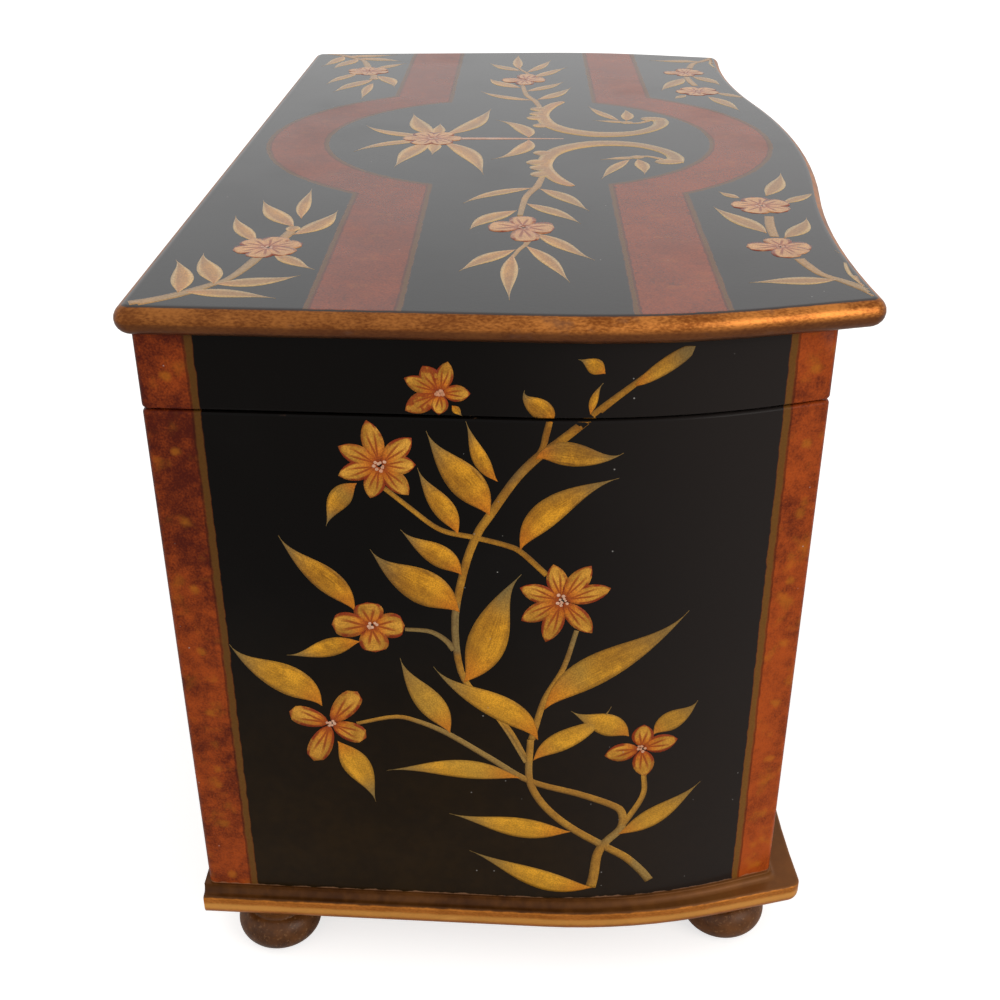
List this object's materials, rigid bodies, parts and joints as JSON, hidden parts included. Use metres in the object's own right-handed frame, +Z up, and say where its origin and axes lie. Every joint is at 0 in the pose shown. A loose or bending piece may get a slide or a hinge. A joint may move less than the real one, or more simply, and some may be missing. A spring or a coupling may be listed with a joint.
{
  "type": "jewelry chest",
  "caption": "Lacquered jewelry chest with a serpentine front, bowed ends, an overhanging hinged lid, bun feet and a lift-out tray.",
  "frame": {"origin": "middle of the chest's outline, on the floor under the feet", "axes": "+X along the chest to its right end, -Y out of the serpentine front, +Z up"},
  "size_m": [0.4308, 0.2362, 0.2598],
  "materials": {
    "black_lacquer": "satin black lacquer with painted flowers and red bands",
    "lacquer_and_gilding": "black lacquer with copper-gilt nosings",
    "brown_wood": "dark brown gloss",
    "velvet": "matt red velvet",
    "brass": "satin",
    "screw_steel": "satin"
  },
  "bodies": {
    "case": {"plinth_board": "lacquer_and_gilding", "front_board": "black_lacquer", "back_board": "black_lacquer", "left_end_board": "black_lacquer", "right_end_board": "black_lacquer", "foot_front_left": "brown_wood", "foot_front_right": "brown_wood", "foot_back_left": "brown_wood", "foot_back_right": "brown_wood", "floor_lining": "velvet", "liner_front": "velvet", "liner_back": "velvet", "liner_left": "velvet", "liner_right": "velvet", "case_hinge_leaf_left": "brass", "case_hinge_leaf_right": "brass", "hinge_pin_left": "brass", "hinge_pin_right": "brass", "case_hinge_screws": "screw_steel", "plinth_screws": "screw_steel"},
    "lid": {"lid_top_board": "lacquer_and_gilding", "lid_rim_front": "black_lacquer", "lid_rim_back": "black_lacquer", "lid_rim_left": "black_lacquer", "lid_rim_right": "black_lacquer", "lid_lining_pad": "velvet", "lid_hinge_leaf_left": "brass", "lid_hinge_leaf_right": "brass", "lid_hinge_screws": "screw_steel"},
    "tray": {"tray_floor": "black_lacquer", "tray_rail_front": "black_lacquer", "tray_rail_back": "black_lacquer", "tray_rail_left": "black_lacquer", "tray_rail_right": "black_lacquer", "tray_divider_long": "black_lacquer", "tray_divider_left": "black_lacquer", "tray_divider_right": "black_lacquer", "tray_pad_left": "velvet", "tray_pad_middle": "velvet", "tray_pad_right": "velvet", "ring_roll_1": "velvet", "ring_roll_2": "velvet", "ring_roll_3": "velvet", "ring_roll_4": "velvet"}
  },
  "joints": [
    {"name": "lid_hinge", "type": "hinge", "parent": "case", "child": "lid", "pos_m": [0, 0.11394, 0.2262], "axis": [-1, 0, 0], "range_deg": [0, 95]},
    {"name": "tray_lift", "type": "slide", "parent": "case", "child": "tray", "axis": [0, 0, 1], "range_m": [0, 0.018]}
  ]
}
